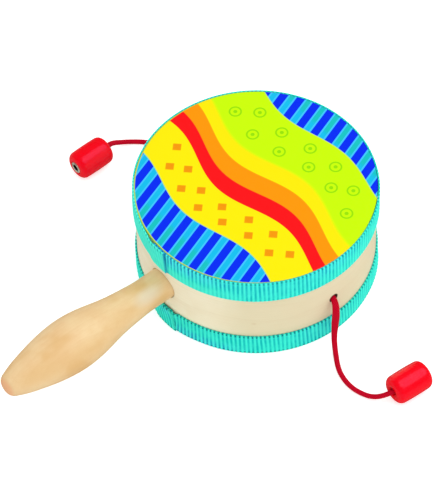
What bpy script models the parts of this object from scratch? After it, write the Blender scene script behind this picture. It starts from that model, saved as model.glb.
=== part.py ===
# A wooden twist drum: a shallow hoop with a flat head on each end, ribbons round the rims, a turned
# handle, and two beads on short cords.
# The drum lies flat on its lower head. Its axis is +Z, the origin is the middle of that head's underside,
# the handle points along -Y, and the cords leave the hoop at +X and -X. Lengths are in metres.

import math

import bmesh
import bpy
import numpy as np
from mathutils import Matrix, Vector

# ---- driving dimensions ----
GAP = 0.0003  # clearance between neighbouring pieces
MERGE = 1e-7  # points closer than this are one

DRUM_RADIUS = 0.0504  # over the ribbons
DRUM_HEIGHT = 0.0475  # over both heads
RIBBON_THICKNESS = 0.0006
TOP_RIBBON_WIDTH = 0.0118
BOTTOM_RIBBON_WIDTH = 0.0112
HEAD_THICKNESS = 0.0010
HEAD_EDGE = 0.0003  # rounding of a head's rim
HOOP_WALL = 0.0040
HOOP_EDGE = 0.0004  # chamfer on the hoop's rims

HANDLE_HEIGHT = 0.0237  # its axis above the floor
HANDLE_OUTLINE = [  # distance from the drum's axis, radius
    (0.0440, 0.0068),
    (0.0520, 0.0068),
    (0.0590, 0.0068),
    (0.0670, 0.0074),
    (0.0760, 0.0085),
    (0.0840, 0.0101),
    (0.0905, 0.0111),
    (0.0970, 0.0114),
    (0.1030, 0.0110),
    (0.1100, 0.0099),
    (0.1170, 0.0083),
    (0.1230, 0.0066),
    (0.1270, 0.0051),
]
HANDLE_STEP = 0.0050  # between rings of the turned surface
HANDLE_NOSE = 0.0025  # rounding of its end

CORD_RADIUS = 0.0010
CORD_HOLE_RADIUS = 0.0018
CORD_STEP = 0.0040  # 2 diameters between a tube's points

BEAD_RADIUS = 0.0063
BEAD_LENGTH = 0.0168
BEAD_EDGE = 0.0026  # rounding of its rims
BEAD_BORE = 0.0018
BEAD_MOUTH = 0.0006  # chamfer at the bore's open end
BEAD_FLOOR_GAP = 0.00002

EYELET_FLANGE_RADIUS = 0.0027
EYELET_FLANGE = 0.0005  # thickness
EYELET_RADIUS = 0.0019  # outside of its barrel
EYELET_BORE = 0.0013
EYELET_LENGTH = 0.0046
EYELET_SEAT = 0.0005  # depth of its seat in the bead's end

ROUND_STEPS = {"drum": 96, "handle": 36, "bead": 28, "eyelet": 24, "hole": 24}

# Each cord: the points it runs through, from inside the hoop's wall to the end of its eyelet, and the
# middle and heading of its bead, which points from the cord's side to the eyelet's side.
CORDS = {
    "right": {
        "route": [
            (0.04550, -0.00060, 0.02200),
            (0.04720, -0.00060, 0.02200),
            (0.04900, -0.00070, 0.02190),
            (0.05110, -0.00130, 0.02120),
            (0.05280, -0.00220, 0.01960),
            (0.05380, -0.00300, 0.01710),
            (0.05420, -0.00360, 0.01370),
            (0.05470, -0.00430, 0.01000),
            (0.05550, -0.00520, 0.00660),
            (0.05720, -0.00650, 0.00380),
            (0.05980, -0.00820, 0.00200),
            (0.06340, -0.01050, 0.00120),
            (0.06770, -0.01270, 0.00105),
            (0.07240, -0.01390, 0.00105),
            (0.07700, -0.01400, 0.00105),
            (0.08100, -0.01310, 0.00110),
            (0.08440, -0.01190, 0.00160),
            (0.08720, -0.01050, 0.00280),
            (0.08940, -0.00880, 0.00440),
            (0.09090, -0.00670, 0.00570),
            (0.09165, -0.00430, 0.00625),
            (0.09190, -0.00180, 0.00632),
            (0.09210, 0.00080, 0.00632),
            (0.09254, 0.00659, 0.00632),
        ],
        "bead": (0.09227, 0.00270),
        "heading": 86.0,
    },
    "left": {
        "route": [
            (-0.04550, 0.00000, 0.02200),
            (-0.04720, 0.00000, 0.02200),
            (-0.04900, 0.00010, 0.02190),
            (-0.05120, 0.00050, 0.02120),
            (-0.05290, 0.00100, 0.01960),
            (-0.05400, 0.00170, 0.01710),
            (-0.05460, 0.00260, 0.01370),
            (-0.05520, 0.00360, 0.01000),
            (-0.05630, 0.00460, 0.00660),
            (-0.05830, 0.00570, 0.00380),
            (-0.06130, 0.00650, 0.00200),
            (-0.06540, 0.00690, 0.00120),
            (-0.06980, 0.00640, 0.00105),
            (-0.07390, 0.00470, 0.00105),
            (-0.07750, 0.00200, 0.00105),
            (-0.08030, -0.00100, 0.00110),
            (-0.08230, -0.00400, 0.00150),
            (-0.08330, -0.00700, 0.00260),
            (-0.08350, -0.00970, 0.00420),
            (-0.08310, -0.01230, 0.00560),
            (-0.08250, -0.01490, 0.00622),
            (-0.08230, -0.01760, 0.00632),
            (-0.08220, -0.02040, 0.00632),
            (-0.08205, -0.02709, 0.00632),
        ],
        "bead": (-0.08212, -0.02319),
        "heading": 271.0,
    },
}

# ---- sizes that follow from them ----
RIBBON_INNER = DRUM_RADIUS - RIBBON_THICKNESS
HOOP_RADIUS = RIBBON_INNER - GAP
HOOP_BOTTOM = HEAD_THICKNESS + GAP
HOOP_TOP = DRUM_HEIGHT - HEAD_THICKNESS - GAP
HANDLE_HOLE_RADIUS = HANDLE_OUTLINE[0][1] + GAP
BEAD_HEIGHT = BEAD_RADIUS + BEAD_FLOOR_GAP
EYELET_END = BEAD_LENGTH / 2 - EYELET_SEAT + GAP + EYELET_FLANGE  # along the bead, from its middle
EYELET_START = EYELET_END - EYELET_LENGTH

# colour, roughness, metallic
FINISHES = {
    "pale_wood": ((0.86, 0.74, 0.55), 0.55, 0.0),
    "turned_wood": ((0.84, 0.60, 0.33), 0.45, 0.0),
    "print": ((0.95, 0.80, 0.05), 0.35, 0.0),
    "plain_board": ((0.90, 0.82, 0.45), 0.5, 0.0),
    "ribbon": ((0.05, 0.80, 0.72), 0.75, 0.0),
    "cord": ((0.55, 0.01, 0.03), 0.7, 0.0),
    "red_lacquer": ((0.90, 0.01, 0.03), 0.2, 0.0),
    "eyelet_metal": ((0.72, 0.70, 0.66), 0.3, 1.0),
}


def clear_scene():
    for thing in list(bpy.data.objects):
        bpy.data.objects.remove(thing, do_unlink=True)


def give_material(piece, finish):
    """One Principled material for one piece."""
    colour, roughness, metallic = FINISHES[finish]
    material = bpy.data.materials.new(piece.name)
    material.use_nodes = True
    shader = material.node_tree.nodes["Principled BSDF"]
    shader.inputs["Base Color"].default_value = (*colour, 1.0)
    shader.inputs["Roughness"].default_value = roughness
    shader.inputs["Metallic"].default_value = metallic
    piece.data.materials.append(material)


def turned(name, profile, steps, finish=None):
    """A closed solid made by spinning a profile of (distance along, radius) round +Z.

    A profile that starts and ends on the axis is a solid bar. Any other is a closed loop, such as a ring.
    """
    mesh = bpy.data.meshes.new(name)
    shape = bmesh.new()
    line = [shape.verts.new((radius, 0.0, along)) for along, radius in profile]
    edges = [shape.edges.new(pair) for pair in zip(line, line[1:])]
    if profile[0][1] > 0.0:
        edges.append(shape.edges.new((line[-1], line[0])))
    bmesh.ops.spin(
        shape,
        geom=line + edges,
        cent=(0.0, 0.0, 0.0),
        axis=(0.0, 0.0, 1.0),
        angle=math.tau,
        steps=steps,
        use_merge=True,
    )
    bmesh.ops.remove_doubles(shape, verts=shape.verts, dist=MERGE)
    bmesh.ops.recalc_face_normals(shape, faces=shape.faces)
    shape.to_mesh(mesh)
    shape.free()
    mesh.shade_smooth()
    mesh.set_sharp_from_angle(angle=math.radians(35.0))
    piece = bpy.data.objects.new(name, mesh)
    bpy.context.collection.objects.link(piece)
    if finish:
        give_material(piece, finish)
    return piece


def rounded_corner(centre, radius, start, end, count):
    """Points of a corner's arc in a profile, as (distance along, radius)."""
    along, out = centre
    angles = np.radians(np.linspace(start, end, count))
    return [(along + radius * math.cos(a), out + radius * math.sin(a)) for a in angles]


def smooth_line(points, step):
    """Points about a step apart on the natural cubic spline through the given points."""
    knots = np.array(points, float)
    runs = np.linalg.norm(np.diff(knots, axis=0), axis=1)
    along = np.concatenate([[0.0], np.cumsum(runs)])
    last = len(knots) - 1
    matrix = np.eye(last + 1)
    bends = np.zeros_like(knots)
    slopes = np.diff(knots, axis=0) / runs[:, None]
    for i in range(1, last):
        matrix[i, i - 1 : i + 2] = (runs[i - 1], 2 * (runs[i - 1] + runs[i]), runs[i])
        bends[i] = 6 * (slopes[i] - slopes[i - 1])
    bends = np.linalg.solve(matrix, bends)
    count = max(2, round(along[-1] / step) + 1)
    result = []
    for place in np.linspace(0.0, along[-1], count):
        i = int(np.clip(np.searchsorted(along, place, side="right") - 1, 0, last - 1))
        before, after, run = along[i + 1] - place, place - along[i], runs[i]
        curved = (bends[i] * before**3 + bends[i + 1] * after**3) / (6 * run)
        straight = (knots[i] / run - bends[i] * run / 6) * before
        straight += (knots[i + 1] / run - bends[i + 1] * run / 6) * after
        result.append(curved + straight)
    return result


def lay_along(piece, start, direction):
    """Stand a turned piece's +Z along a direction, with its zero at a point."""
    turn = Vector((0.0, 0.0, 1.0)).rotation_difference(Vector(direction))
    piece.matrix_world = Matrix.Translation(start) @ turn.to_matrix().to_4x4()


def cut(piece, cutter):
    """Take a cutter out of a piece."""
    cutter.hide_render = True
    cutter.display_type = "WIRE"
    boolean = piece.modifiers.new(cutter.name, "BOOLEAN")
    boolean.operation = "DIFFERENCE"
    boolean.solver = "EXACT"
    boolean.object = cutter


def drill(name, radius, start, direction, length):
    """A round cutter from a point along a direction."""
    profile = [(0.0, 0.0), (0.0, radius), (length, radius), (length, 0.0)]
    cutter = turned(name, profile, ROUND_STEPS["hole"])
    lay_along(cutter, start, direction)
    return cutter


def add_hoop():
    """The bent hoop, open at both ends, with the handle's hole and one hole for each cord."""
    inner = HOOP_RADIUS - HOOP_WALL
    profile = [
        (HOOP_BOTTOM, inner),
        (HOOP_BOTTOM, HOOP_RADIUS - HOOP_EDGE),
        (HOOP_BOTTOM + HOOP_EDGE, HOOP_RADIUS),
        (HOOP_TOP - HOOP_EDGE, HOOP_RADIUS),
        (HOOP_TOP, HOOP_RADIUS - HOOP_EDGE),
        (HOOP_TOP, inner),
    ]
    hoop = turned("drum_hoop", profile, ROUND_STEPS["drum"], "pale_wood")
    reach = 4 * HOOP_WALL
    inside = inner - HOOP_WALL
    start = (0.0, -inside, HANDLE_HEIGHT)
    cut(hoop, drill("handle_hole", HANDLE_HOLE_RADIUS, start, (0.0, -1.0, 0.0), reach))
    for side, cord in CORDS.items():
        first = cord["route"][0]
        outwards = math.copysign(1.0, first[0])
        start = (outwards * inside, first[1], first[2])
        cut(hoop, drill(f"cord_hole_{side}", CORD_HOLE_RADIUS, start, (outwards, 0.0, 0.0), reach))


def add_head(name, bottom, finish):
    """A flat round head with its rim a little rounded."""
    top = bottom + HEAD_THICKNESS
    profile = [
        (bottom, 0.0),
        (bottom, HOOP_RADIUS - HEAD_EDGE),
        (bottom + HEAD_EDGE, HOOP_RADIUS),
        (top - HEAD_EDGE, HOOP_RADIUS),
        (top, HOOP_RADIUS - HEAD_EDGE),
        (top, 0.0),
    ]
    turned(name, profile, ROUND_STEPS["drum"], finish)


def add_ribbon(name, bottom, width):
    """A ribbon glued round a rim, as one closed band."""
    top = bottom + width
    profile = [
        (bottom, RIBBON_INNER),
        (bottom, DRUM_RADIUS),
        (top, DRUM_RADIUS),
        (top, RIBBON_INNER),
    ]
    turned(name, profile, ROUND_STEPS["drum"], "ribbon")


def add_handle():
    """The turned handle: its neck sits in the hoop's wall, and its belly fills the hand."""
    outline = [tuple(p) for p in smooth_line(HANDLE_OUTLINE, HANDLE_STEP)]
    tip, tip_radius = outline[-1]
    nose = rounded_corner((tip, tip_radius - HANDLE_NOSE), HANDLE_NOSE, 70.0, 0.0, 4)
    profile = [(outline[0][0], 0.0)] + outline + nose
    profile.append((profile[-1][0], 0.0))
    handle = turned("handle", profile, ROUND_STEPS["handle"], "turned_wood")
    lay_along(handle, (0.0, 0.0, HANDLE_HEIGHT), (0.0, -1.0, 0.0))


def add_cord(side, cord):
    """A cord as a plain tube with closed ends."""
    points = smooth_line(cord["route"], CORD_STEP)
    curve = bpy.data.curves.new(f"cord_{side}", "CURVE")
    curve.dimensions = "3D"
    curve.bevel_depth = CORD_RADIUS
    curve.bevel_resolution = 2
    curve.use_fill_caps = True
    spline = curve.splines.new("POLY")
    spline.points.add(len(points) - 1)
    for knot, point in zip(spline.points, points):
        knot.co = (*point, 1.0)
    piece = bpy.data.objects.new(f"cord_{side}", curve)
    bpy.context.collection.objects.link(piece)
    give_material(piece, "cord")


def add_bead(side, cord):
    """A wooden bead on its side, bored through, with a seat for the eyelet in its far end."""
    half = BEAD_LENGTH / 2
    seat = half - EYELET_SEAT
    seat_radius = EYELET_FLANGE_RADIUS + GAP
    barrel_hole = EYELET_RADIUS + GAP
    barrel_start = EYELET_START - GAP
    rim = BEAD_RADIUS - BEAD_EDGE
    profile = [(-half, BEAD_BORE + BEAD_MOUTH)]
    profile += rounded_corner((-half + BEAD_EDGE, rim), BEAD_EDGE, 180.0, 90.0, 6)
    profile += rounded_corner((half - BEAD_EDGE, rim), BEAD_EDGE, 90.0, 0.0, 6)
    profile += [
        (half, seat_radius),
        (seat, seat_radius),
        (seat, barrel_hole),
        (barrel_start, barrel_hole),
        (barrel_start, BEAD_BORE),
        (-half + BEAD_MOUTH, BEAD_BORE),
    ]
    bead = turned(f"bead_{side}", profile, ROUND_STEPS["bead"], "red_lacquer")
    lay_along(bead, (*cord["bead"], BEAD_HEIGHT), heading_of(cord))


def add_eyelet(side, cord):
    """A metal eyelet: a barrel in the bead's bore and a flange in its seat."""
    neck = EYELET_END - EYELET_FLANGE
    soft = EYELET_FLANGE / 4
    profile = [
        (EYELET_START, EYELET_BORE),
        (EYELET_START, EYELET_RADIUS),
        (neck, EYELET_RADIUS),
        (neck, EYELET_FLANGE_RADIUS - soft),
        (neck + soft, EYELET_FLANGE_RADIUS),
        (EYELET_END - soft, EYELET_FLANGE_RADIUS),
        (EYELET_END, EYELET_FLANGE_RADIUS - soft),
        (EYELET_END, EYELET_BORE + 2 * soft),
        (EYELET_END - 2 * soft, EYELET_BORE),
    ]
    eyelet = turned(f"eyelet_{side}", profile, ROUND_STEPS["eyelet"], "eyelet_metal")
    lay_along(eyelet, (*cord["bead"], BEAD_HEIGHT), heading_of(cord))


def heading_of(cord):
    turn = math.radians(cord["heading"])
    return (math.cos(turn), math.sin(turn), 0.0)


def main():
    clear_scene()
    add_hoop()
    add_head("top_head", DRUM_HEIGHT - HEAD_THICKNESS, "print")
    add_head("bottom_head", 0.0, "plain_board")
    add_ribbon("top_ribbon", DRUM_HEIGHT - TOP_RIBBON_WIDTH, TOP_RIBBON_WIDTH)
    add_ribbon("bottom_ribbon", GAP, BOTTOM_RIBBON_WIDTH)
    add_handle()
    for side, cord in CORDS.items():
        add_cord(side, cord)
        add_bead(side, cord)
        add_eyelet(side, cord)
    bpy.context.view_layer.update()


main()
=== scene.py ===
# A wooden twist drum lying on its plain head: a bent hoop with a flat head on each end, ribbon glued round
# both rims, a turned handle, and two red beads on short cords. Metres, +Z up, and the handle points along -Y.
import math

import bpy
import numpy as np
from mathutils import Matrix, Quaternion, Vector


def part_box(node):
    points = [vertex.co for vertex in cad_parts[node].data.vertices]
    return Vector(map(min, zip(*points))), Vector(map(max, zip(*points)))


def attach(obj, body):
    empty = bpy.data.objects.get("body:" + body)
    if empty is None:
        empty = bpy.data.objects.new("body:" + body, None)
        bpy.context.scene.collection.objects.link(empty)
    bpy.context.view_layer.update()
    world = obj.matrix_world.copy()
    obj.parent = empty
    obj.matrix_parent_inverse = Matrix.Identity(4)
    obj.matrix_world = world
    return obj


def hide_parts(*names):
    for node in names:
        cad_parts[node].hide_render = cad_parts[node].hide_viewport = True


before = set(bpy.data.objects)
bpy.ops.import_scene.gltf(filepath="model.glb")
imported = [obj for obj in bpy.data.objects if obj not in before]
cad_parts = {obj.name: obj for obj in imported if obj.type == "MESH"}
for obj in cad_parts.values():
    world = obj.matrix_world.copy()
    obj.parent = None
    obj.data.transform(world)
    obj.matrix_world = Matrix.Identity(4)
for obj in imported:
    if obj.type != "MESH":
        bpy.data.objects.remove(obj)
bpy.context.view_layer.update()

print("frame loaded")


# selecting and finishing

def deselectAll():
    bpy.ops.object.select_all(action="DESELECT")


def selectOnly(piece):
    deselectAll()
    piece.select_set(True)
    bpy.context.view_layer.objects.active = piece


def setMode(mode):
    bpy.ops.object.mode_set(mode=mode)


def selectAllPoints():
    bpy.ops.mesh.select_all(action="SELECT")


def joinPoints(reach):
    # makes one of the points closer than the reach
    selectAllPoints()
    bpy.ops.mesh.remove_doubles(threshold=reach)
    selectAllPoints()


def nameNew(name):
    piece = bpy.context.object
    piece.name = name
    piece.data.name = name
    return piece


def selectWhere(piece, part, test):
    # picks edges by a test of their two ends, or faces by one of their middle and normal, in edit mode
    bpy.ops.mesh.select_all(action="DESELECT")
    bpy.ops.mesh.select_mode(type={"edges": "EDGE", "polygons": "FACE"}[part])
    setMode("OBJECT")
    points = piece.data.vertices
    for item in getattr(piece.data, part):
        if part == "edges":
            item.select = test(*(points[i].co for i in item.vertices))
        else:
            item.select = test(item.center, item.normal)
    setMode("EDIT")


def applyModifiers(piece):
    selectOnly(piece)
    for modifier in list(piece.modifiers):
        bpy.ops.object.modifier_apply(modifier=modifier.name)


def applyPlace(piece):
    selectOnly(piece)
    bpy.ops.object.transform_apply(location=True, rotation=True, scale=True)


def smoothShading(piece, degrees=35):
    selectOnly(piece)
    bpy.ops.object.shade_smooth_by_angle(angle=math.radians(degrees))


def finishPiece(piece, material, nodeName):
    piece.data.materials.clear()
    piece.data.materials.append(material)
    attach(piece, "root")
    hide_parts(nodeName)


# shapes that more than one piece needs

weld = 1e-6  # points closer than this are one


def roundedCorner(along, out, radius, start, end, count):
    turns = np.radians(np.linspace(start, end, count))
    return [(along + radius * math.cos(turn), out + radius * math.sin(turn)) for turn in turns]


def turnOnLathe(name, profile, sides):
    # spins a profile of (distance along, radius) round +Z
    deselectAll()
    along, radius = profile[0]
    bpy.ops.mesh.primitive_plane_add(size=weld, location=(0, 0, 0))
    piece = nameNew(name)
    setMode("EDIT")
    bpy.ops.mesh.select_mode(type="VERT")
    bpy.ops.mesh.merge(type="CENTER")
    bpy.ops.transform.translate(value=(radius, 0, along))
    for (a0, r0), (a1, r1) in zip(profile, profile[1:]):
        bpy.ops.mesh.extrude_vertices_move(TRANSFORM_OT_translate={"value": (r1 - r0, 0, a1 - a0)})
    joinPoints(weld)
    bpy.ops.mesh.spin(steps=sides, angle=math.tau, center=(0, 0, 0), axis=(0, 0, 1))
    joinPoints(weld)
    bpy.ops.mesh.normals_make_consistent(inside=False)
    setMode("OBJECT")
    return piece


def layAlong(piece, start, direction):
    # lays a lathe piece's +Z along a direction, with its zero at a point
    turn = Vector((0, 0, 1)).rotation_difference(Vector(direction))
    piece.rotation_euler = turn.to_euler()
    piece.location = start
    applyPlace(piece)


def smoothLine(points, step):
    # points about a step apart on the natural cubic spline through the given ones
    knots = np.array(points, float)
    runs = np.linalg.norm(np.diff(knots, axis=0), axis=1)
    along = np.concatenate([[0.0], np.cumsum(runs)])
    last = len(knots) - 1
    matrix = np.eye(last + 1)
    bends = np.zeros_like(knots)
    slopes = np.diff(knots, axis=0) / runs[:, None]
    for i in range(1, last):
        matrix[i, i - 1 : i + 2] = (runs[i - 1], 2 * (runs[i - 1] + runs[i]), runs[i])
        bends[i] = 6 * (slopes[i] - slopes[i - 1])
    bends = np.linalg.solve(matrix, bends)
    places = np.linspace(0.0, along[-1], max(2, round(along[-1] / step) + 1))
    i = np.clip(np.searchsorted(along, places, side="right") - 1, 0, last - 1)
    before, after, run = (x[:, None] for x in (along[i + 1] - places, places - along[i], runs[i]))
    curved = (bends[i] * before**3 + bends[i + 1] * after**3) / (6 * run)
    straight = (knots[i] / run - bends[i] * run / 6) * before
    straight += (knots[i + 1] / run - bends[i + 1] * run / 6) * after
    return curved + straight


# building materials

class Value:
    # what a node of a material gives, so that sums of them read as sums
    def __init__(self, tree, socket):
        self.tree = tree
        self.socket = socket

    def __add__(self, other):
        return calc("ADD", self, other)

    def __sub__(self, other):
        return calc("SUBTRACT", self, other)

    def __mul__(self, other):
        return calc("MULTIPLY", self, other)

    def __truediv__(self, other):
        return calc("DIVIDE", self, other)

    def __abs__(self):
        return calc("ABSOLUTE", self)

    __radd__ = __add__


def feed(value, socket):
    if isinstance(value, Value):
        value.tree.links.new(value.socket, socket)
    else:
        socket.default_value = value


def addNode(tree, kind, settings=(), inputs=(), output=0):
    node = tree.nodes.new("ShaderNode" + kind)
    place = len(tree.nodes)
    node.location = (200 * (place % 9), -280 * (place // 9))
    for name, value in dict(settings).items():
        setattr(node, name, value)
    for name, value in dict(inputs).items():
        feed(value, node.inputs[name])
    return Value(tree, node.outputs[output])


def calc(operation, *values):
    tree = next(value.tree for value in values if isinstance(value, Value))
    return addNode(tree, "Math", {"operation": operation}, dict(enumerate(values)))


def lengthOf(*parts):
    return calc("SQRT", sum(part * part for part in parts))


def ease(value, low, high, start=0.0, end=1.0):
    # a soft step from start to end as the value goes from low to high
    inputs = {"Value": value, "From Min": low, "From Max": high, "To Min": start, "To Max": end}
    return addNode(value.tree, "MapRange", {"interpolation_type": "SMOOTHSTEP"}, inputs)


def under(value, edge, soft):
    # 1 where the value is under the edge, and 0 over it
    return ease(value, edge - soft, edge + soft, 1.0, 0.0)


def mix(mask, first, second, blend="MIX"):
    # the first colour where the mask is 0, and the second where it is 1
    settings = {"data_type": "RGBA", "blend_type": blend}
    return addNode(mask.tree, "Mix", settings, {0: mask, 6: first, 7: second}, 2)


def scaled(place, factors):
    return addNode(place.tree, "VectorMath", {"operation": "MULTIPLY"}, {0: place, 1: factors})


def split(place):
    across = addNode(place.tree, "SeparateXYZ", (), {0: place})
    return [Value(place.tree, output) for output in across.socket.node.outputs]


def combine(*parts):
    return addNode(parts[0].tree, "CombineXYZ", (), dict(enumerate(parts)))


def noise(place, scale, detail=2.0, roughness=0.5):
    inputs = {"Vector": place, "Scale": scale, "Detail": detail, "Roughness": roughness}
    return addNode(place.tree, "TexNoise", (), inputs)


def bump(height, distance, strength):
    return addNode(height.tree, "Bump", (), {"Height": height, "Distance": distance, "Strength": strength})


def newMaterial(name):
    material = bpy.data.materials.new(name)
    material.use_nodes = True
    return material


def dress(material, looks):
    # each look is a plain value or one that the material works out
    shader = material.node_tree.nodes["Principled BSDF"]
    for label, value in looks.items():
        feed(value, shader.inputs[label])
    return material


def coordinate(material, kind):
    return addNode(material.node_tree, "TexCoord", output=kind)


def millimetres(material):
    # the place on the piece
    return scaled(coordinate(material, "Object"), (1000, 1000, 1000))


def screen(red, green, blue):
    # a colour as a screen shows it, 0 to 255, made linear
    parts = [value / 255 for value in (red, green, blue)]
    return (*(v / 12.92 if v <= 0.04045 else ((v + 0.055) / 1.055) ** 2.4 for v in parts), 1.0)


# effects shared by several finishes, each from 0 to 1

def mottle(place, size):
    # broad and fine unevenness, for colour and for gloss
    broad = noise(place, 1 / size, 3.0, 0.55)
    fine = noise(place, 9 / size, 3.0, 0.6)
    return ease(broad, 0.3, 0.7), ease(fine, 0.3, 0.7)


def woodGrain(place, spacing, wander):
    # rings, fibres and pores of straight-grained wood, with X along the grain
    drift = noise(scaled(place, (0.012, 0.07, 0.07)), 1.0, 3.0)
    _, beside, above = split(place)
    ring = calc("FRACT", (drift * (wander * 8) + lengthOf(beside, above)) / spacing)
    late = calc("POWER", ring, 3.0)  # each ring darkens slowly and ends at once
    fibres = noise(scaled(place, (0.05, 2.2, 2.2)), 1.0, 4.0, 0.6)
    pores = noise(scaled(place, (0.35, 5.5, 5.5)), 1.0, 1.0, 0.5)
    return late * ease(ring, 0.9, 1.0, 1.0, 0.0), ease(fibres, 0.35, 0.75), ease(pores, 0.66, 0.78)


def grained(colour, wood, amounts, grain):
    for mask, amount in zip(wood, amounts):
        colour = mix(mask * amount, colour, grain)
    return colour


# the camera

shot = {
    "aim": (0.0004, -0.0209, 0.0237),
    "azimuth": 52.03,  # degrees, 0 looks along +Y
    "elevation": 52.72,
    "roll": 1.9,
    "distance": 1.2263,
    "lens": 218.2,
}


def addCamera():
    azimuth, elevation, roll = (math.radians(shot[k]) for k in ("azimuth", "elevation", "roll"))
    level = math.cos(elevation)
    back = Vector((math.sin(azimuth) * level, -math.cos(azimuth) * level, math.sin(elevation)))
    bpy.ops.object.camera_add(location=Vector(shot["aim"]) + back * shot["distance"])
    camera = nameNew("camera")
    camera.data.lens = shot["lens"]
    camera.rotation_euler = (back.to_track_quat("Z", "Y") @ Quaternion((0, 0, 1), -roll)).to_euler()
    bpy.context.scene.camera = camera


deselectAll()
addCamera()
print("camera placed")


# the cords: crimson braid, from inside the hoop's wall to the end of the bead's eyelet

cord = {
    "diameter": 0.002,
    "step": 0.00016,
    "sides": 48,
    "strands": 8,  # each way round
    "turnLength": 0.0076,  # along the cord, for a strand to go once round
    "relief": 0.00011,
    "crown": 0.6,  # the share of a strand's height that is its own roundness
    "over": 0.4,  # and the share that its crossings give it
    # distance from the start, width and thickness: pulled flat where it leaves the hoop
    "section": [
        (0.0, 0.0021, 0.0019), (0.004, 0.0025, 0.0019), (0.008, 0.003, 0.0018), (0.012, 0.0033, 0.0018),
        (0.016, 0.0032, 0.0018), (0.021, 0.0026, 0.002), (0.027, 0.0023, 0.0021), (0.054, 0.0021, 0.002),
        (0.066, 0.0024, 0.0021), (0.079, 0.0024, 0.0021),
    ],
    "routes": {
        "right": [
            (0.0455, -0.0006, 0.022), (0.0472, -0.0006, 0.022), (0.049, -0.0007, 0.0219),
            (0.0511, -0.0013, 0.0212), (0.0528, -0.0022, 0.0196), (0.0538, -0.003, 0.0171),
            (0.0542, -0.0036, 0.0137), (0.0547, -0.0043, 0.01), (0.0555, -0.0052, 0.0066),
            (0.0572, -0.0065, 0.0038), (0.0598, -0.0082, 0.002), (0.0634, -0.0105, 0.0012),
            (0.0677, -0.0127, 0.00105), (0.0724, -0.0139, 0.00105), (0.077, -0.014, 0.00105),
            (0.081, -0.0131, 0.0011), (0.0844, -0.0119, 0.0016), (0.0872, -0.0105, 0.0028),
            (0.0894, -0.0088, 0.0044), (0.0909, -0.0067, 0.0057), (0.09165, -0.0043, 0.00625),
            (0.0919, -0.0018, 0.00632), (0.0921, 0.0008, 0.00632), (0.09254, 0.00659, 0.00632),
        ],
        "left": [
            (-0.0455, 0.0, 0.022), (-0.0472, 0.0, 0.022), (-0.049, 0.0001, 0.0219),
            (-0.0512, 0.0005, 0.0212), (-0.0529, 0.001, 0.0196), (-0.054, 0.0017, 0.0171),
            (-0.0546, 0.0026, 0.0137), (-0.0552, 0.0036, 0.01), (-0.0563, 0.0046, 0.0066),
            (-0.0583, 0.0057, 0.0038), (-0.0613, 0.0065, 0.002), (-0.0654, 0.0069, 0.0012),
            (-0.0698, 0.0064, 0.00105), (-0.0739, 0.0047, 0.00105), (-0.0775, 0.002, 0.00105),
            (-0.0803, -0.001, 0.0011), (-0.0823, -0.004, 0.0015), (-0.0833, -0.007, 0.0026),
            (-0.0835, -0.0097, 0.0042), (-0.0831, -0.0123, 0.0056), (-0.0825, -0.0149, 0.00622),
            (-0.0823, -0.0176, 0.00632), (-0.0822, -0.0204, 0.00632), (-0.08205, -0.02709, 0.00632),
        ],
    },
    "light": screen(224, 2, 46),
    "middle": screen(196, 0, 34),
    # painted shade between the strands
    "gapShade": screen(92, 0, 20),
}


def braidHeight(turn, run):
    # strands cross one over, one under: how high the upper one stands, from 0 to 1
    one, other = turn + run, turn - run
    heights = []
    for mine, across, side in ((one, other, cord["over"]), (other, one, -cord["over"])):
        middle = np.round(mine)
        crown = np.cos(math.pi * (mine - middle)) * cord["crown"]
        heights.append(crown + side * np.cos(math.pi * (across + middle)))
    return np.maximum(*heights)


def braidThreads(braidMap):
    # the same strands' height, and the streaks of their threads, on a map that counts strands round and along
    turn, run, _ = split(braidMap)
    one, other = turn + run, turn - run
    heights = []
    threads = []
    for mine, across, side in ((one, other, cord["over"]), (other, one, -cord["over"])):
        middle = calc("ROUND", mine)
        crown = calc("COSINE", (mine - middle) * math.pi) * cord["crown"]
        heights.append(crown + calc("COSINE", (across + middle) * math.pi) * side)
        threads.append(noise(combine(across * 0.5, mine * 5.0), 1.6, 2.0, 0.6))
    upper = calc("GREATER_THAN", *heights)
    picked = threads[1] + (threads[0] - threads[1]) * upper
    return calc("MAXIMUM", *heights), ease(picked, 0.3, 0.7)


def makeCordMaterial():
    material = newMaterial("crimsonBraid")
    height, streak = braidThreads(coordinate(material, "UV"))
    worn, _ = mottle(millimetres(material), 2.4)
    colour = mix(streak * 0.7, cord["middle"], cord["light"])
    colour = mix(worn * 0.35, colour, cord["middle"])
    # painted shade in the gaps between the strands
    colour = mix(ease(height, 0.1, 0.62, 0.85, 0.0), colour, cord["gapShade"])
    normal = bump(streak * 0.3 + height, 0.00008, 0.6)
    return dress(
        material, {"Base Color": colour, "Roughness": 0.62, "Specular IOR Level": 0.06, "Normal": normal}
    )


def tubeFrames(line):
    # at each point, two directions across the cord that don't twist along it, the first level at the start
    ahead = np.gradient(line, axis=0)
    ahead /= np.linalg.norm(ahead, axis=1)[:, None]
    side = np.array((0.0, 1.0, 0.0))
    sides = []
    for direction in ahead:
        side = side - direction * (side @ direction)
        side = side / np.linalg.norm(side)
        sides.append(side)
    sides = np.array(sides)
    return sides, np.cross(ahead, sides)


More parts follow.
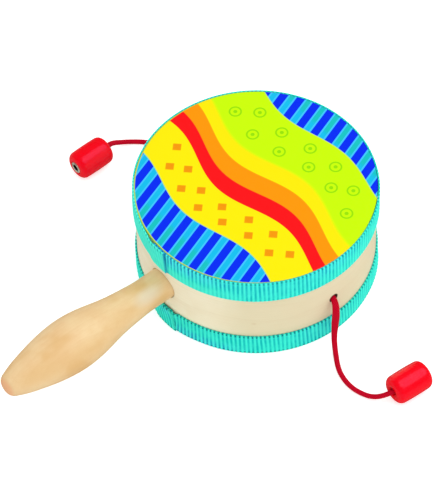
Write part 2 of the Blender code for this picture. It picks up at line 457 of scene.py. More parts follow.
def addCord(side):
    line = smoothLine(cord["routes"][side], cord["step"])
    along = np.concatenate([[0.0], np.cumsum(np.linalg.norm(np.diff(line, axis=0), axis=1))])
    stations, widths, depths = zip(*cord["section"])
    wide = np.interp(along, stations, widths)[:, None] / 2
    deep = np.interp(along, stations, depths)[:, None] / 2
    turn = np.linspace(0.0, 1.0, cord["sides"], endpoint=False)[None, :]
    run = along[:, None] / cord["turnLength"]
    lift = (braidHeight(turn * cord["strands"], run * cord["strands"]) - 0.8) * cord["relief"]
    across, upwards = tubeFrames(line)
    right = ((wide + lift) * np.cos(math.tau * turn))[:, :, None] * across[:, None, :]
    up = ((deep + lift) * np.sin(math.tau * turn))[:, :, None] * upwards[:, None, :]
    rings = line[:, None, :] + right + up
    count = cord["sides"]
    rows = len(line)
    points = [tuple(p) for p in rings.reshape(-1, 3)] + [tuple(line[0]), tuple(line[-1])]
    faces, maps = [], []
    for row in range(rows - 1):
        start, end = run[row, 0] * cord["strands"], run[row + 1, 0] * cord["strands"]
        for k in range(count):
            here, after = row * count + k, row * count + (k + 1) % count
            faces.append((here, after, after + count, here + count))
            low, high = k / count * cord["strands"], (k + 1) / count * cord["strands"]
            maps += [(low, start), (high, start), (high, end), (low, end)]
    for row, middle in ((0, rows * count), (rows - 1, rows * count + 1)):
        for k in range(count):
            corner = (row * count + k, row * count + (k + 1) % count, middle)
            faces.append(corner if row else corner[::-1])
            maps += [(0.0, 0.0)] * 3
    mesh = bpy.data.meshes.new(side + "_cord")
    mesh.from_pydata(points, [], faces)
    mesh.uv_layers.new(name="braidMap").data.foreach_set("uv", np.array(maps, float).ravel())
    piece = bpy.data.objects.new(side + "_cord", mesh)
    bpy.context.collection.objects.link(piece)
    selectOnly(piece)
    setMode("EDIT")
    selectAllPoints()
    bpy.ops.mesh.normals_make_consistent(inside=False)
    setMode("OBJECT")
    smoothShading(piece, 60)
    finishPiece(piece, crimsonBraid, "cord_" + side)
    return piece, line


crimsonBraid = makeCordMaterial()
cordPieces = {side: addCord(side) for side in cord["routes"]}
print("cords laid")


# the beads: turned, bored through and lacquered, with a seat for the eyelet in the far end

bead = {
    "radius": (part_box("bead_right")[1].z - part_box("bead_right")[0].z) / 2,
    "length": 0.0168,
    "rounding": 0.0026,
    "crown": 0.00012,  # how much fuller the middle is than the shoulders
    "bore": 0.0018,
    "mouth": 0.0006,  # how much wider the bore opens at the cord's end
    "lip": (0.00005, 0.0001),  # the eased edge there: how deep, how wide
    "seatDepth": 0.0005,
    "seatRadius": 0.003,
    "barrelHole": 0.0022,
    "barrelGap": 0.0003,  # past the end of the eyelet's barrel
    "sides": 112,
    "red": screen(255, 0, 18),
    "deepRed": screen(246, 0, 14),
    "gloss": screen(255, 150, 226),
}

eyelet = {
    "flangeRadius": 0.0026,
    "flange": 0.0005,
    "radius": 0.002,
    "bore": 0.0016,
    "length": 0.0046,
    "end": 0.0087,  # from the bead's middle
    "sides": 96,
    "bright": screen(240, 236, 218),
    "dull": screen(160, 154, 130),
    "inner": screen(34, 30, 24),  # painted shade in the bore
}


def beadProfile():
    half = bead["length"] / 2
    edge = bead["rounding"]
    shoulder = bead["radius"] - edge - bead["crown"]
    seat = half - bead["seatDepth"]
    barrel = eyelet["end"] - eyelet["length"] - bead["barrelGap"]
    mouth = bead["bore"] + bead["mouth"]
    deep, wide = bead["lip"]
    profile = [(-half + deep, mouth - wide), (-half, mouth)]
    profile += roundedCorner(-half + edge, shoulder, edge, 180, 90, 14)
    for share in (-0.6, -0.2, 0.2, 0.6):
        profile.append((share * (half - edge), bead["radius"] - bead["crown"] * share**2))
    profile += roundedCorner(half - edge, shoulder, edge, 90, 0, 14)
    profile += [(half, bead["seatRadius"]), (seat, bead["seatRadius"]), (seat, bead["barrelHole"])]
    profile += [(barrel, bead["barrelHole"]), (barrel, bead["bore"]), (-half + bead["mouth"], bead["bore"])]
    return profile + profile[:1]


def eyeletProfile():
    # a barrel with a rolled lip
    neck = eyelet["end"] - eyelet["flange"]
    start = eyelet["end"] - eyelet["length"]
    middle = (eyelet["flangeRadius"] + eyelet["bore"]) / 2
    reach = (eyelet["flangeRadius"] - eyelet["bore"]) / 2
    profile = [(start, eyelet["bore"]), (start, eyelet["radius"]), (neck, eyelet["radius"])]
    profile.append((neck, eyelet["flangeRadius"] - 0.0001))
    for turn in np.radians(np.linspace(0, 180, 15)):
        rise = 0.2 + 0.8 * math.sin(turn) ** 0.8
        profile.append((neck + eyelet["flange"] * rise, middle + reach * math.cos(turn)))
    return profile + profile[:1]


def makeLacquerMaterial():
    # glossy red lacquer over wood
    material = newMaterial("redLacquer")
    broad, fine = mottle(millimetres(material), 5.0)
    looks = {
        "Base Color": mix(broad * 0.35, bead["red"], bead["deepRed"]),
        "Roughness": ease(fine, 0.0, 1.0, 0.19, 0.24),
        "Specular IOR Level": 0.5,
        "Specular Tint": bead["gloss"],
        "Coat Weight": ease(broad, 0.0, 1.0, 0.1, 0.2),
        "Coat Roughness": 0.09,
        "Normal": bump(fine * 0.15 + broad, 0.00004, 0.3),
    }
    return dress(material, looks)


def makeNickelMaterial():
    # nickel with a little tarnish, and painted shade in its bore
    material = newMaterial("eyeletNickel")
    broad, fine = mottle(millimetres(material), 1.2)
    inside = addNode(material.node_tree, "Attribute", {"attribute_name": "inside"}, output="Fac")
    looks = {
        # painted shade over the bore
        "Base Color": mix(inside, mix(broad, eyelet["bright"], eyelet["dull"]), eyelet["inner"]),
        "Metallic": 0.35,
        "Roughness": ease(fine, 0.0, 1.0, 0.16, 0.3),
        "Normal": bump(fine, 0.00003, 0.4),
    }
    return dress(material, looks)


def copyOf(piece, name):
    selectOnly(piece)
    bpy.ops.object.duplicate()
    return nameNew(name)


def addBeads():
    lacquer = makeLacquerMaterial()
    nickel = makeNickelMaterial()
    ball = turnOnLathe("right_bead", beadProfile(), bead["sides"])
    ring = turnOnLathe("right_eyelet", eyeletProfile(), eyelet["sides"])
    inside = [math.hypot(v.co.x, v.co.y) < eyelet["bore"] + weld for v in ring.data.vertices]
    ring.data.attributes.new("inside", "FLOAT", "POINT").data.foreach_set("value", inside)
    for piece in (ball, ring):
        smoothShading(piece)
    pairs = {"right": (ball, ring), "left": (copyOf(ball, "left_bead"), copyOf(ring, "left_eyelet"))}
    for side, pair in pairs.items():
        low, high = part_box("bead_" + side)
        before, end = (Vector(point) for point in cord["routes"][side][-2:])
        for piece in pair:
            layAlong(piece, (low + high) / 2, (end - before).normalized())
        finishPiece(pair[0], lacquer, "bead_" + side)
        finishPiece(pair[1], nickel, "eyelet_" + side)
    return pairs


beadPieces = addBeads()
for side, (piece, line) in cordPieces.items():
    line[::4].tolist() + [line[-1].tolist()]
print("beads and eyelets threaded")


# the hoop: pale bent wood with fine level grain, painted shade over one side, and darkened in and round each
# cord hole

hoop = {
    "radius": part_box("drum_hoop")[1].x,
    "bottom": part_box("drum_hoop")[0].z,
    "top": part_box("drum_hoop")[1].z,
    "wall": 0.004,
    "edge": 0.0004,
    "sides": 256,
    "rings": 14,
    "cordHole": 0.0018,
    "handleHole": 0.0071,
    "flare": 0.00012,  # how much wider each hole is at its mouth
    "bore": 0.01,  # how far a hole's cutter reaches in from the wall's face, and out
    "holeSides": 72,
    "holeTurn": 0.021,  # keeps the holes' corners off the hoop's own edges
    "merge": 0.00001,  # points this close at the holes' edges become one
    "light": screen(255, 248, 220),
    "warm": screen(249, 238, 206),
    "shadedSide": screen(228, 214, 174),  # painted shade: the strip's colour over its darker half
    "shadedSideSpan": (-0.35, 0.05, 2.0, 3.0),  # radians round from opposite the seam: sets in, full, fades, gone
    "grain": screen(222, 200, 158),
    "grainAmounts": (0.14, 0.12, 0.18),  # rings, fibres and pores
    # dark in and round each cord hole, out to these distances in mm from its axis
    "holeDark": screen(58, 16, 8),
    "holeDarkReach": (1.9, 2.4),
    "seam": 45.0,  # degrees from -X towards +Y, where the strip's ends meet
    "knot": (-41.0, 0.01975),  # degrees round, height
    "knotReach": (0.2, 1.6),
}


def boreHole(name, start, direction, radius):
    # a cutter with a flared mouth, from inside the hoop out past its wall
    flare = hoop["flare"]
    wide = radius + 2 * flare
    end = 2 * hoop["bore"]
    profile = [(0.0, 0.0), (0.0, radius), (hoop["bore"] - flare, radius), (hoop["bore"] + flare, wide)]
    cutter = turnOnLathe(name, profile + [(end, wide), (end, 0.0)], hoop["holeSides"])
    cutter.rotation_euler.z = hoop["holeTurn"]
    applyPlace(cutter)
    layAlong(cutter, start, direction)
    return cutter


def boreHoles():
    inside = hoop["radius"] - hoop["bore"]
    low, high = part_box("handle")
    neck = (0, -inside, (low.z + high.z) / 2)
    cutters = [boreHole("handleHole", neck, (0, -1, 0), hoop["handleHole"])]
    for side, route in cord["routes"].items():
        out = math.copysign(1.0, route[0][0])
        start = (out * inside, route[0][1], route[0][2])
        cutters.append(boreHole(side + "CordHole", start, (out, 0, 0), hoop["cordHole"]))
    return cutters


def addHoop():
    deselectAll()
    height = hoop["top"] - hoop["bottom"]
    middle = (0, 0, hoop["bottom"] + height / 2)
    bpy.ops.mesh.primitive_cylinder_add(
        vertices=hoop["sides"], radius=hoop["radius"], depth=height, end_fill_type="NOTHING", location=middle
    )
    piece = nameNew("hoop")
    applyPlace(piece)
    setMode("EDIT")
    selectWhere(piece, "edges", lambda a, b: abs(a.z - b.z) > height / 2)
    bpy.ops.mesh.subdivide(number_cuts=hoop["rings"])
    joinPoints(weld)
    bpy.ops.mesh.normals_make_consistent(inside=False)
    setMode("OBJECT")
    wall = piece.modifiers.new("wall", "SOLIDIFY")
    wall.thickness = hoop["wall"]
    wall.offset = -1
    rims = piece.modifiers.new("rims", "BEVEL")
    rims.width = hoop["edge"]
    rims.segments = 3
    rims.angle_limit = math.radians(60)
    cutters = boreHoles()
    for cutter in cutters:
        hole = piece.modifiers.new(cutter.name, "BOOLEAN")
        hole.operation = "DIFFERENCE"
        hole.solver = "EXACT"
        hole.object = cutter
    applyModifiers(piece)
    for cutter in cutters:
        bpy.data.objects.remove(cutter, do_unlink=True)
    selectOnly(piece)
    setMode("EDIT")
    joinPoints(hoop["merge"])
    bpy.ops.mesh.dissolve_degenerate(threshold=hoop["merge"])
    setMode("OBJECT")
    smoothShading(piece)
    return piece


def holeDarkMask(parts, side):
    # 1 round a cord hole's axis, fading out
    outwards, beside, up = cord["routes"][side][0]
    away = lengthOf(parts[1] - beside * 1000, parts[2] - up * 1000)
    thisSide = calc("GREATER_THAN", parts[0] * math.copysign(1.0, outwards), 0.0)
    return thisSide * ease(away, *hoop["holeDarkReach"], 0.95, 0.0)


def makeHoopMaterial():
    material = newMaterial("bentBirch")
    place = millimetres(material)
    parts = split(place)
    cosine, sine = (turn(math.radians(hoop["seam"])) for turn in (math.cos, math.sin))
    angle = calc("ARCTAN2", parts[0] * sine + parts[1] * cosine, parts[0] * cosine - parts[1] * sine)
    radius = hoop["radius"] * 1000
    arc = angle * radius
    flat = combine(arc, parts[2], lengthOf(parts[0], parts[1]))
    wood = woodGrain(flat, 3.1, 1.0)
    broad, _ = mottle(flat, 22.0)
    colour = mix(broad, hoop["light"], hoop["warm"])
    starts, full, fades, gone = hoop["shadedSideSpan"]
    # painted shade over one side of the hoop
    shadedSide = ease(angle, starts, full, 0.0, 0.75) * ease(angle, fades, gone, 1.0, 0.0)
    colour = mix(shadedSide, colour, hoop["shadedSide"])
    colour = grained(colour, wood, hoop["grainAmounts"], hoop["grain"])
    turn, level = hoop["knot"]
    besideKnot = arc - math.radians(turn + hoop["seam"]) * radius
    away = lengthOf(besideKnot, (parts[2] - level * 1000) * 1.5)
    colour = mix(ease(away, *hoop["knotReach"], 0.5, 0.0), colour, hoop["grain"])
    for side in cord["routes"]:
        # darkened in and round each cord hole
        colour = mix(holeDarkMask(parts, side), colour, hoop["holeDark"])
    looks = {
        "Base Color": colour,
        "Roughness": ease(wood[1], 0.0, 1.0, 0.48, 0.62),
        "Specular IOR Level": 0.2,
        "Normal": bump(wood[1] * 0.5 - wood[2], 0.00006, 0.5),
    }
    return dress(material, looks)


finishPiece(addHoop(), makeHoopMaterial(), "drum_hoop")
print("hoop bent and bored")


# the handle: its neck sits in the hoop's wall, and its belly fills the hand

handle = {
    "height": (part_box("handle")[0].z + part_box("handle")[1].z) / 2,
    "tip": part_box("handle")[0].y,
    "step": 0.0009,
    "nose": 0.0025,
    "dome": 0.00004,  # how far the flat end swells
    "sides": 144,
    "pith": (38.0, 16.0),  # where the growth rings centre, beside and above the handle's axis, in mm
    "light": screen(244, 212, 160),
    "warm": screen(240, 202, 148),
    "amber": screen(230, 184, 118),
    "grain": screen(218, 170, 108),
    "grainAmounts": (0.12, 0.12, 0.2),  # rings, fibres and pores
    "endGrain": screen(244, 178, 128),
    "endGrainReach": (0.1, 1.9),  # mm from the tip to where it starts to fade, and where it has gone
    # the painted sheen on the neck
    "pale": screen(240, 224, 198),
    # amber patches in the wood, and a painted sheen on the neck: place in mm, reach each way, amount
    # and tint
    "patches": (
        ((9.5, -98.0, 27.0), (5.5, 20.0, 8.0), 0.5, "amber"),
        ((6.5, -116.5, 29.5), (6.0, 15.0, 7.0), 0.5, "amber"),
        ((5.5, -74.0, 29.0), (6.0, 13.0, 7.0), 0.35, "amber"),
        ((4.0, -60.5, 28.5), (4.0, 9.0, 4.5), 0.65, "pale"),
    ),
}


def handleOutline():
    # distance from the drum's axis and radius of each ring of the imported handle, without its rounded nose
    rings = {}
    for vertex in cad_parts["handle"].data.vertices:
        x, y, z = vertex.co
        radius = math.hypot(x, z - handle["height"])
        rings[round(-y, 5)] = max(radius, rings.get(round(-y, 5), 0.0))
    end = max(rings) - handle["nose"]
    return [(along, rings[along]) for along in sorted(rings) if along <= end + weld]


def addHandle():
    outline = handleOutline()
    profile = [(outline[0][0], 0.0)] + [tuple(point) for point in smoothLine(outline, handle["step"])]
    (before, wider), (tip, tipRadius) = profile[-2:]
    taper = math.atan2(wider - tipRadius, tip - before)
    nose = handle["nose"] / (1 - math.sin(taper))  # this radius carries on from the taper, to the same end
    rim = tipRadius - nose * math.cos(taper)
    profile += roundedCorner(tip - nose * math.sin(taper), rim, nose, 86 - math.degrees(taper), 14, 12)
    for share in (1.0, 0.7, 0.4, 0.0):
        profile.append((tip + handle["nose"] - handle["dome"] * share**2, rim * share))
    piece = turnOnLathe("turned_handle", profile, handle["sides"])
    layAlong(piece, (0, 0, handle["height"]), (0, -1, 0))
    smoothShading(piece)
    return piece


def makeHandleMaterial():
    material = newMaterial("turnedBeech")
    place = millimetres(material)
    parts = split(place)
    beside, above = handle["pith"]
    along = combine(parts[1], parts[0] - beside, parts[2] - (handle["height"] * 1000 + above))
    wood = woodGrain(along, 2.6, 0.8)
    broad, fine = mottle(place, 11.0)
    colour = mix(broad, handle["light"], handle["warm"])
    blotch = noise(scaled(place, (0.075, 0.055, 0.075)), 1.0)
    colour = mix(ease(blotch, 0.46, 0.66, 0.0, 0.75), colour, handle["amber"])
    colour = grained(colour, wood, handle["grainAmounts"], handle["grain"])
    # amber patches in the wood, and the painted sheen on the neck
    for middle, reach, amount, tint in handle["patches"]:
        away = lengthOf(*((part - m) / r for part, m, r in zip(parts, middle, reach)))
        colour = mix(ease(away, 0.2, 1.1, amount, 0.0), colour, handle[tint])
    starts, gone = (handle["tip"] * 1000 + reach for reach in handle["endGrainReach"])
    marks = calc("SINE", parts[1] * 14.0)  # faint rings left by the turning tool
    looks = {
        "Base Color": mix(ease(parts[1], starts, gone, 0.8, 0.0), colour, handle["endGrain"]),
        "Roughness": ease(fine, 0.0, 1.0, 0.36, 0.46),
        "Specular IOR Level": 0.4,
        "Normal": bump(marks * 0.06 + wood[1] * 0.4, 0.00005, 0.4),
    }
    return dress(material, looks)


finishPiece(addHandle(), makeHandleMaterial(), "handle")
print("handle turned")


# the heads: thin round boards, the upper one printed

head = {
    "radius": hoop["radius"],
    "edge": 0.0003,
    "sides": 256,
    "rings": (0.004, 0.012, 0.016),  # insets from the rim, one inside the other
    "bare": screen(196, 218, 78),  # the upper board's unprinted rim and edge
    "plain": screen(250, 232, 128),
    "plainWarm": screen(240, 214, 104),
}

# the print, in millimetres from the drum's axis: X across, Y up its middle
printed = {
    "radius": 49.3,
    "middle": (0.25, 0.3),
    "depth": (0.3, 0.15),  # how far down the board's edge the ink ends, and where it starts to
    "rimSoftness": 0.12,
    # the lower edge of each field above the lowest stripes, a wave: height, swing, where it crests, length
    # and softness
    "waves": {
        "yellow": (-27.5, 3.5, 26.0, 70.0, 0.12),
        "red": (-9.0, 4.0, 26.0, 70.0, 0.12),
        "orange": (-2.0, 4.0, 22.0, 70.0, 0.12),
        "gold": (5.5, 4.0, 18.0, 70.0, 0.15),
        "lime": (12.5, 4.0, 14.0, 70.0, 1.0),
        "striped": (35.0, 3.0, 12.0, 66.0, 0.12),
    },
    "inks": {
        "yellow": screen(250, 234, 0),
        "red": screen(252, 16, 22),
        "orange": screen(255, 149, 0),
        "gold": screen(252, 232, 0),
        "lime": screen(198, 250, 0),
    },
    "sheen": screen(255, 255, 200),
    "paleLine": 0.2,  # half as wide as the line along both striped fields
    "paleColour": screen(196, 226, 96),
    "stripes": (7.5, 3.75, 0.75),  # spacing, width, and the width of the light line beside each
    "lean": 0.35,  # how far the stripes lean for each step up
    "blue": screen(0, 43, 240),
    "sky": screen(62, 195, 252),
    "cyan": screen(16, 187, 234),
    "teal": screen(20, 192, 192),  # the same ink towards the rim
    "tealFrom": (37.8, 41.2),  # how far up or down the board it changes
    # rows of motifs: first place, spacing, how many, then the height, swing, crest and length of the
    # wave they follow
    "diamondRows": [
        (-36.0, 12.0, 7, -14.8, 4.0, 26.0, 70.0),
        (-30.0, 12.0, 6, -21.6, 3.7, 26.0, 70.0),
    ],
    "diamondReach": 2.4,
    "diamondColour": screen(242, 150, 4),
    "ringRows": [
        (-35.0, 14.0, 6, 19.5, 3.5, 14.0, 70.0),
        (-28.0, 14.0, 5, 28.0, 2.8, 12.0, 66.0),
    ],
    "ringRadius": 2.4,
    "ringLine": 0.7,
    "ringMiddle": 0.85,  # the dot in each ring
    "ringColour": screen(146, 222, 0),
}


def waveLevel(across, height, swing, crest, length):
    return calc("COSINE", (across - crest) * (math.tau / length)) * swing + height


def diamondMask(aside, above):
    return under(abs(aside) + abs(above), printed["diamondReach"], 0.2)


def ringMask(aside, above):
    away = lengthOf(aside, above)
    ring = under(abs(away - printed["ringRadius"]), printed["ringLine"] / 2, 0.14)
    return calc("MAXIMUM", ring, under(away, printed["ringMiddle"], 0.14))


def motifMask(across, up, rows, shape):
    # 1 on the motifs of every row
    mask = 0.0
    for first, spacing, count, *wave in rows:
        number = calc("MAXIMUM", calc("ROUND", (across - first) / spacing), 0.0)
        middle = calc("MINIMUM", number, count - 1.0) * spacing + first
        mask = calc("MAXIMUM", mask, shape(across - middle, up - waveLevel(middle, *wave)))
    return mask


def stripedField(across, up):
    # cyan, and teal towards the rim, under blue stripes with a light line on each side
    spacing, width, line = printed["stripes"]
    steps = (across + up * printed["lean"]) / spacing
    away = abs(steps - calc("ROUND", steps)) * spacing
    colour = mix(ease(abs(up), *printed["tealFrom"]), printed["cyan"], printed["teal"])
    colour = mix(under(away, width / 2 + line, 0.1), colour, printed["sky"])
    return mix(under(away, width / 2, 0.1), colour, printed["blue"])


def printColour(across, up):
    fields = dict(printed["inks"])
    diamonds = motifMask(across, up, printed["diamondRows"], diamondMask)
    fields["yellow"] = mix(diamonds, fields["yellow"], printed["diamondColour"])
    rings = motifMask(across, up, printed["ringRows"], ringMask)
    fields["lime"] = mix(rings, fields["lime"], printed["ringColour"])
    fields["striped"] = stripedField(across, up)
    colour = fields["striped"]
    past = {}
    for name, (*wave, soft) in printed["waves"].items():
        past[name] = up - waveLevel(across, *wave)
        colour = mix(ease(past[name], -soft, soft), colour, fields[name])
    for name in ("yellow", "striped"):
        colour = mix(under(abs(past[name]), printed["paleLine"], 0.15), colour, printed["paleColour"])
    return colour


def makePrintMaterial():
    material = newMaterial("printedBoard")
    place = millimetres(material)
    across, up, height = split(place)
    x, y = printed["middle"]
    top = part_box("top_head")[1].z * 1000
    rim, soft = printed["radius"], printed["rimSoftness"]
    pastRim = ease(lengthOf(across - x, up - y), rim - soft, rim + soft)
    bottom, fading = (top - depth for depth in printed["depth"])
    bare = calc("MAXIMUM", pastRim, ease(height, bottom, fading, 1.0, 0.0))
    broad, fine = mottle(place, 6.0)
    _, fibres, _ = woodGrain(place, 4.0, 1.0)
    colour = mix(bare, printColour(across, up), head["bare"])
    looks = {
        "Base Color": mix(fine * 0.05, colour, printed["sheen"], "SOFT_LIGHT"),
        "Roughness": ease(broad, 0.0, 1.0, 0.34, 0.44),
        "Specular IOR Level": 0.05,
        "Coat Weight": ease(broad, 0.0, 1.0, 0.35, 0.25),
        "Coat Roughness": 0.12,
        "Normal": bump(fibres * 0.6 + fine * 0.4, 0.00003, 0.3),
    }
    return dress(material, looks)


def makePlainBoardMaterial():
    material = newMaterial("plainBoard")
    place = millimetres(material)
    broad, fine = mottle(place, 18.0)
    _, fibres, _ = woodGrain(place, 5.0, 1.6)
    looks = {
        "Base Color": mix(fibres * 0.18, mix(broad, head["plain"], head["plainWarm"]), head["plainWarm"]),
        "Roughness": ease(fine, 0.0, 1.0, 0.4, 0.52),
        "Specular IOR Level": 0.25,
        "Normal": bump(fibres, 0.00004, 0.35),
    }
    return dress(material, looks)


def addHead(name, node):
    low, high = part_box(node)
    thick = high.z - low.z
    deselectAll()
    bpy.ops.mesh.primitive_cylinder_add(
        vertices=head["sides"], radius=head["radius"], depth=thick, location=(0, 0, low.z + thick / 2)
    )
    piece = nameNew(name)
    applyPlace(piece)
    setMode("EDIT")
    selectWhere(piece, "edges", lambda a, b: abs(a.z - b.z) < weld)
    bpy.ops.mesh.bevel(offset=head["edge"], segments=4)
    for upwards in (1, -1):
        selectWhere(piece, "polygons", lambda middle, normal: normal.z * upwards > 0.999)
        for step in head["rings"]:
            bpy.ops.mesh.inset(thickness=step)
        bpy.ops.mesh.poke()
    setMode("OBJECT")
    smoothShading(piece)
    return piece


finishPiece(addHead("printed_head", "top_head"), makePrintMaterial(), "top_head")
finishPiece(addHead("plain_head", "bottom_head"), makePlainBoardMaterial(), "bottom_head")
print("heads cut and printed")


# the ribbons: ribbed grosgrain, glued round each rim with the end lapped over the start

ribbon = {
    "radius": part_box("top_ribbon")[1].x - 0.00008,  # the middle of the ribs' relief
    "thickness": 0.0006,
    "ribSpacing": 0.00175,
    "pointsPerRib": 10,
    "rows": 16,
    "sway": ((0.1, 0.31, 0.0), (0.07, 0.83, 1.0)),  # how far the ribs lean, how quickly that comes and goes
    "relief": 0.00022,
    "deepRelief": 0.00034,
    "calmRelief": 0.00007,
    "scallop": 0.00016,
    "selvedge": (0.06, 0.00008),  # the share of the width at each edge where the ribs sink, and how far
    "lap": 0.00062,  # how much further out the lapped end lies
    "threads": 34,  # along the ribbon
    "edgeShadeRows": (0.045, 0.955),  # where the painted shade at the edges runs across the width
    # the ridges, and the grooves' painted shade; where the ribs stand deep, a painted highlight on the ridges
    # and darker, bluer painted shade in the grooves
    "light": screen(66, 254, 226),
    "grooveShade": screen(4, 190, 192),
    # paler where the ribs lie flat or hardly show
    "pale": screen(80, 254, 224),
    "deepLitRidge": screen(84, 254, 250),
    "deepGrooveShade": screen(0, 116, 196),
    # painted shade where the grooves meet the hoop at each edge
    "edgeShade": screen(0, 104, 112),
    "layers": {
        # all in degrees round the drum, and metres: the strip starts at "start" and ends at "end", "slant"
        # later at its lower edge. "calm" is how far before the end the ribs lie flat. "deep" is where they
        # stand deepest: where round it rises, is full, falls and is gone, from where to where across, and how
        # much. "faint" is the same for where they hardly show.
        "top": {
            "start": -94.0, "end": 273.5, "slant": 1.3, "lapped": 9.0, "calm": (52.0, 70.0), "droop": 0.0002,
            "deep": [
                (-20.0, -8.0, 18.0, 62.0, 0.3, 0.76, 1.0),
                (-44.0, -30.0, -12.0, 12.0, -0.1, 0.1, 1.0),
                (30.0, 44.0, 84.0, 100.0, -0.1, 0.5, 0.25),
                (72.0, 84.0, 100.0, 118.0, 0.25, 0.75, 0.6),
            ],
            "faint": [(-20.0, -8.0, 30.0, 52.0, 0.5, 0.26, 0.8), (84.0, 118.0, 190.0, 220.0, 0.9, 0.2, 0.6)],
            "shade": screen(0, 72, 190), "shadeDepth": 0.5, "edgeShadeAmounts": (0.0, 0.55),
        },
        "bottom": {
            "start": -93.5, "end": 276.25, "slant": 3.25, "lapped": 11.0, "calm": (0.2, 0.8), "droop": 0.0,
            "deep": [
                (4.0, 10.0, 26.0, 56.0, 0.62, 0.16, 0.9),
                (66.0, 78.0, 88.0, 98.0, -0.1, 0.3, 0.3),
                (340.0, 350.0, 380.0, 390.0, 0.3, 1.2, 0.9),
            ],
            "faint": [(92.0, 104.0, 190.0, 220.0, 0.9, 0.2, 0.4)],
            "shade": screen(0, 120, 130), "shadeDepth": 0.15, "edgeShadeAmounts": (0.6, 0.85),
        },
    },
    # where an edge stands off or leans in: layer, middle and half width in degrees, how far out its upper and
    # its lower edge, how far up
    "stray": [
        ("top", -98.0, 11.0, 0.00035, 0.0, 0.0),
        ("top", -124.0, 18.0, -0.0003, 0.0, 0.00025),
        ("top", 40.0, 30.0, 0.0002, 0.0003, 0.0),
        ("bottom", -86.5, 10.0, 0.0004, 0.0, 0.0),
        ("bottom", -81.5, 2.6, 0.0005, 0.0, -0.0006),
        ("bottom", 46.0, 30.0, 0.0, 0.0005, 0.0),
        ("bottom", -80.0, 14.0, 0.0, 0.0004, 0.0),
    ],
}


def blend(value, low, high):
    share = np.clip((value - low) / (high - low), 0.0, 1.0)
    return share * share * (3 - 2 * share)


def within(value, spans, across):
    # 1 inside the stretches, fading out at their ends
    most = np.zeros_like(value)
    for rise, full, fall, gone, low, high, amount in spans:
        stretch = blend(value, rise, full) * (1 - blend(value, fall, gone)) * blend(across, low, high)
        most = np.maximum(most, stretch * amount)
    return most


def shapeRibbon(layer, across, along):
    # across and along run from 0 to 1 over the flat strip; gives the points and what the finish needs to
    # know: how calm and how deep the ribs are, and where the lapped end throws its shade
    spec = ribbon["layers"][layer]
    low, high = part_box(layer + "_ribbon")
    width = high.z - low.z
    ribs = round(math.radians(spec["end"] - spec["start"]) * ribbon["radius"] / ribbon["ribSpacing"])
    end = spec["end"] + spec["slant"] * (1 - across)
    degrees = spec["start"] + along * (end - spec["start"])
    toEnd = end - degrees
    nearEnd = blend(toEnd, spec["calm"][1], spec["calm"][0])
    calm = np.maximum(nearEnd, within(degrees - spec["start"], spec["faint"], across))
    deep = within(degrees - spec["start"], spec["deep"], across) * (1 - calm)
    deep *= 0.75 + 0.25 * np.sin(degrees * 0.9) * np.sin(degrees * 0.23 + 2.0)
    shade = np.maximum(blend(toEnd, 0.5, 0.1), blend(degrees + 360 - end, 2.0, 0.4))
    sway = sum(reach * np.sin(degrees * pace + start) for reach, pace, start in ribbon["sway"])
    phase = along * ribs + sway * (across - 0.5) + nearEnd * 0.8 * across
    rib = 0.5 - 0.5 * np.cos(math.tau * phase) - 0.6
    relief = ribbon["relief"] + (ribbon["deepRelief"] - ribbon["relief"]) * deep
    relief = relief + (ribbon["calmRelief"] - relief) * calm
    radius = ribbon["radius"] + relief * rib
    radius += ribbon["lap"] * blend(toEnd, spec["lapped"] + 5.0, spec["lapped"])
    share, sink = ribbon["selvedge"]
    radius -= sink * (1 - np.minimum(blend(across, 0.0, share), blend(across, 1.0, 1.0 - share)))
    height = low.z + width * across
    scallop = ribbon["scallop"] * (np.cos(math.tau * phase) - 1) / 2
    height += scallop * (blend(across, 0.93, 1.0) - blend(across, 0.07, 0.0))
    height -= spec["droop"] * (1 - across) * blend(toEnd, 14.0, 0.0)
    for name, middle, reach, outAbove, outBelow, up in ribbon["stray"]:
        if name == layer:
            gap = np.abs((degrees - middle + 180) % 360 - 180)
            swell = np.cos(np.clip(gap / reach, 0, 1) * math.pi / 2) ** 2
            radius += outAbove * swell * blend(across, 0.45, 1.0) ** 1.5
            radius += outBelow * swell * blend(across, 0.55, 0.0) ** 1.5
            height += up * swell * blend(across, 0.8, 1.0)
    turn = np.radians(degrees)
    points = np.stack([radius * np.cos(turn), radius * np.sin(turn), height], axis=1)
    return points, {"calm": calm, "deep": deep, "shade": shade}, phase


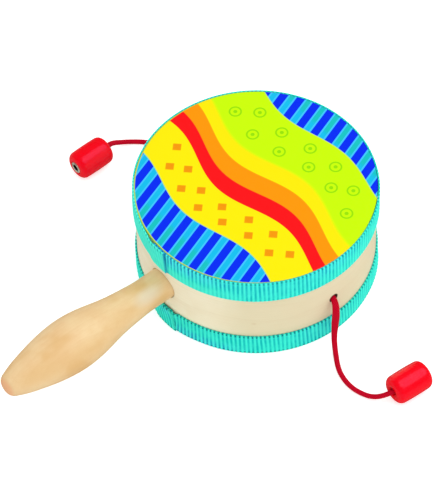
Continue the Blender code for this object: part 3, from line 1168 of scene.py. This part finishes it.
def makeRibbonMaterial(layer):
    spec = ribbon["layers"][layer]
    material = newMaterial(layer + "Grosgrain")
    ribMap = coordinate(material, "UV")
    ribs, across, _ = split(ribMap)
    calm, deep, shade = (
        addNode(material.node_tree, "Attribute", {"attribute_name": label}, output="Fac")
        for label in ("calm", "deep", "shade")
    )
    wave = abs(calc("SINE", ribs * math.pi))
    patchy = ease(noise(scaled(ribMap, (0.45, 2.2, 0.0)), 1.0), 0.3, 0.7, 0.5, 1.0)
    # painted shade in the grooves, less where the ribs lie flat
    grooveShade = ease(wave, 0.3, 1.0, 1.0, 0.0) * (calm * -0.7 + 0.95) * calc("MAXIMUM", deep, patchy)
    light = mix(calm, mix(deep, ribbon["light"], ribbon["deepLitRidge"]), ribbon["pale"])
    colour = mix(grooveShade, light, mix(deep, ribbon["grooveShade"], ribbon["deepGrooveShade"]))
    between = ease(wave, 0.35, 0.85, 1.0, 0.0)
    # dots of painted shade between the ribs along each edge
    for middle, amount in zip(ribbon["edgeShadeRows"], spec["edgeShadeAmounts"]):
        edgeShadeMask = ease(abs(across - middle), 0.03, 0.06, amount, 0.0)
        colour = mix(edgeShadeMask * between, colour, ribbon["edgeShade"])
    colour = mix(shade * spec["shadeDepth"], colour, spec["shade"])
    broad, fine = mottle(millimetres(material), 3.0)
    warp = calc("SINE", across * (math.tau * ribbon["threads"]))
    looks = {
        # random blotches in the colour of the grooves' painted shade
        "Base Color": mix(broad * 0.15, colour, ribbon["grooveShade"]),
        "Roughness": 0.65,
        "Specular IOR Level": 0.04,
        "Normal": bump(warp * 0.18 + fine * 0.2, 0.00006, 0.5),
    }
    return dress(material, looks)


def addRibbon(layer):
    spec = ribbon["layers"][layer]
    length = math.radians(spec["end"] - spec["start"]) * ribbon["radius"]
    columns = round(length / ribbon["ribSpacing"]) * ribbon["pointsPerRib"]
    deselectAll()
    bpy.ops.mesh.primitive_grid_add(
        x_subdivisions=columns, y_subdivisions=ribbon["rows"], size=1, location=(0, 0, 0)
    )
    piece = nameNew({"top": "upper", "bottom": "lower"}[layer] + "_ribbon")
    mesh = piece.data
    flat = np.zeros(len(mesh.vertices) * 3)
    mesh.vertices.foreach_get("co", flat)
    flat = flat.reshape(-1, 3)
    points, masks, phase = shapeRibbon(layer, flat[:, 1] + 0.5, flat[:, 0] + 0.5)
    mesh.vertices.foreach_set("co", points.ravel())
    for label, values in masks.items():
        mesh.attributes.new(label, "FLOAT", "POINT").data.foreach_set("value", values.astype(np.float32))
    corners = np.zeros(len(mesh.loops), dtype=np.int32)
    mesh.loops.foreach_get("vertex_index", corners)
    maps = np.stack([phase[corners], flat[corners, 1] + 0.5], axis=1)
    mesh.uv_layers[0].name = "ribMap"
    mesh.uv_layers[0].data.foreach_set("uv", maps.ravel())
    mesh.update()
    thickness = piece.modifiers.new("thickness", "SOLIDIFY")
    thickness.thickness = ribbon["thickness"]
    thickness.offset = -1
    applyModifiers(piece)
    smoothShading(piece, 50)
    finishPiece(piece, makeRibbonMaterial(layer), layer + "_ribbon")
    low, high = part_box(layer + "_ribbon")
    width = high.z - low.z
    print(f"{layer} ribbon is {width * 1000:.1f} by {length * 1000:.0f} mm")


for layer in ribbon["layers"]:
    addRibbon(layer)
print("ribbons glued round the rims")


# floor, light and backdrop

studio = {
    "floorSize": 6.0,
    "floor": screen(250, 250, 250),
    "floorDull": screen(240, 240, 240),
    "glow": 0.1,  # the floor is lit a little from below
    "shadowLift": 0.45,  # how much of the floor's own light only the camera sees, which lifts its shadows
    "inGloss": screen(120, 120, 120),  # the floor as glossy things show it
    "surround": 0.86,  # light from all round
    "softboxFrom": (0.33, 0.33, 0.88),
    "softboxDistance": 0.9,
    "softboxSide": 0.8,
    "softboxPower": 2.6,
}


def addFloor():
    deselectAll()
    bpy.ops.mesh.primitive_plane_add(size=studio["floorSize"], location=(0, 0, 0))
    floor = nameNew("floor")
    material = newMaterial("paleFloor")
    broad, _ = mottle(coordinate(material, "Object"), 0.5)
    toCamera, inGloss = (
        addNode(material.node_tree, "LightPath", output=label) for label in ("Is Camera Ray", "Is Glossy Ray")
    )
    colour = mix(inGloss, mix(broad * 0.02, studio["floor"], studio["floorDull"]), studio["inGloss"])
    looks = {
        "Base Color": colour,
        "Roughness": 0.9,
        "Specular IOR Level": 0.0,
        "Emission Color": colour,
        "Emission Strength": toCamera * studio["shadowLift"] + studio["glow"],
    }
    floor.data.materials.append(dress(material, looks))


def addLight():
    towards = Vector(studio["softboxFrom"]).normalized()
    bpy.ops.object.light_add(type="AREA", location=towards * studio["softboxDistance"])
    light = nameNew("overheadSoftbox")
    light.data.size = studio["softboxSide"]
    light.data.energy = studio["softboxPower"]
    light.rotation_euler = towards.to_track_quat("Z", "Y").to_euler()
    world = bpy.data.worlds.new("paleSurround")
    world.use_nodes = True
    bpy.context.scene.world = world
    background = world.node_tree.nodes["Background"].inputs
    background["Color"].default_value = (1.0, 1.0, 1.0, 1.0)
    background["Strength"].default_value = studio["surround"]
    world.cycles_visibility.glossy = False  # gloss shows the light and the floor, and nothing else
    bpy.context.scene.view_settings.view_transform = "Standard"


addFloor()
addLight()
print("studio set")
